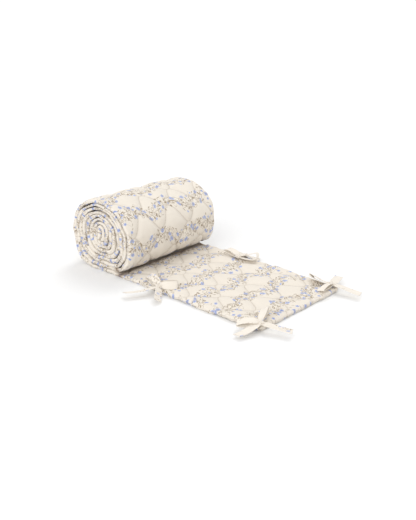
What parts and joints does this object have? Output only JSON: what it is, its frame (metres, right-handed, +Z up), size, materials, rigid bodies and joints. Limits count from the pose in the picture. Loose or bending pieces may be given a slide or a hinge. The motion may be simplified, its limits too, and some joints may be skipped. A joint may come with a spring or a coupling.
{
  "type": "crib bumper",
  "caption": "Quilted fabric crib bumper, rolled up with its last stretch lying flat, with fabric ties in bows on its long edges.",
  "frame": {"origin": "on the band's underside, below the core of the roll and half way across the width", "axes": "+X along the band from the roll to its flat end, Y across the band's width with the open end of the winding facing -Y, +Z up"},
  "size_m": [0.6828, 0.4227, 0.1794],
  "materials": {
    "printed_quilt": "matte cotton, cream with small blue blossoms on brown vines, quilted in onion-shaped waves",
    "tie_cloth": "matte cotton, cream with a blossom here and there"
  },
  "bodies": {
    "root": {"quilted_band": "printed_quilt", "tie_near_middle": "tie_cloth", "tie_near_corner": "tie_cloth", "tie_far_corner": "tie_cloth", "tie_far_middle": "tie_cloth"}
  },
  "joints": []
}
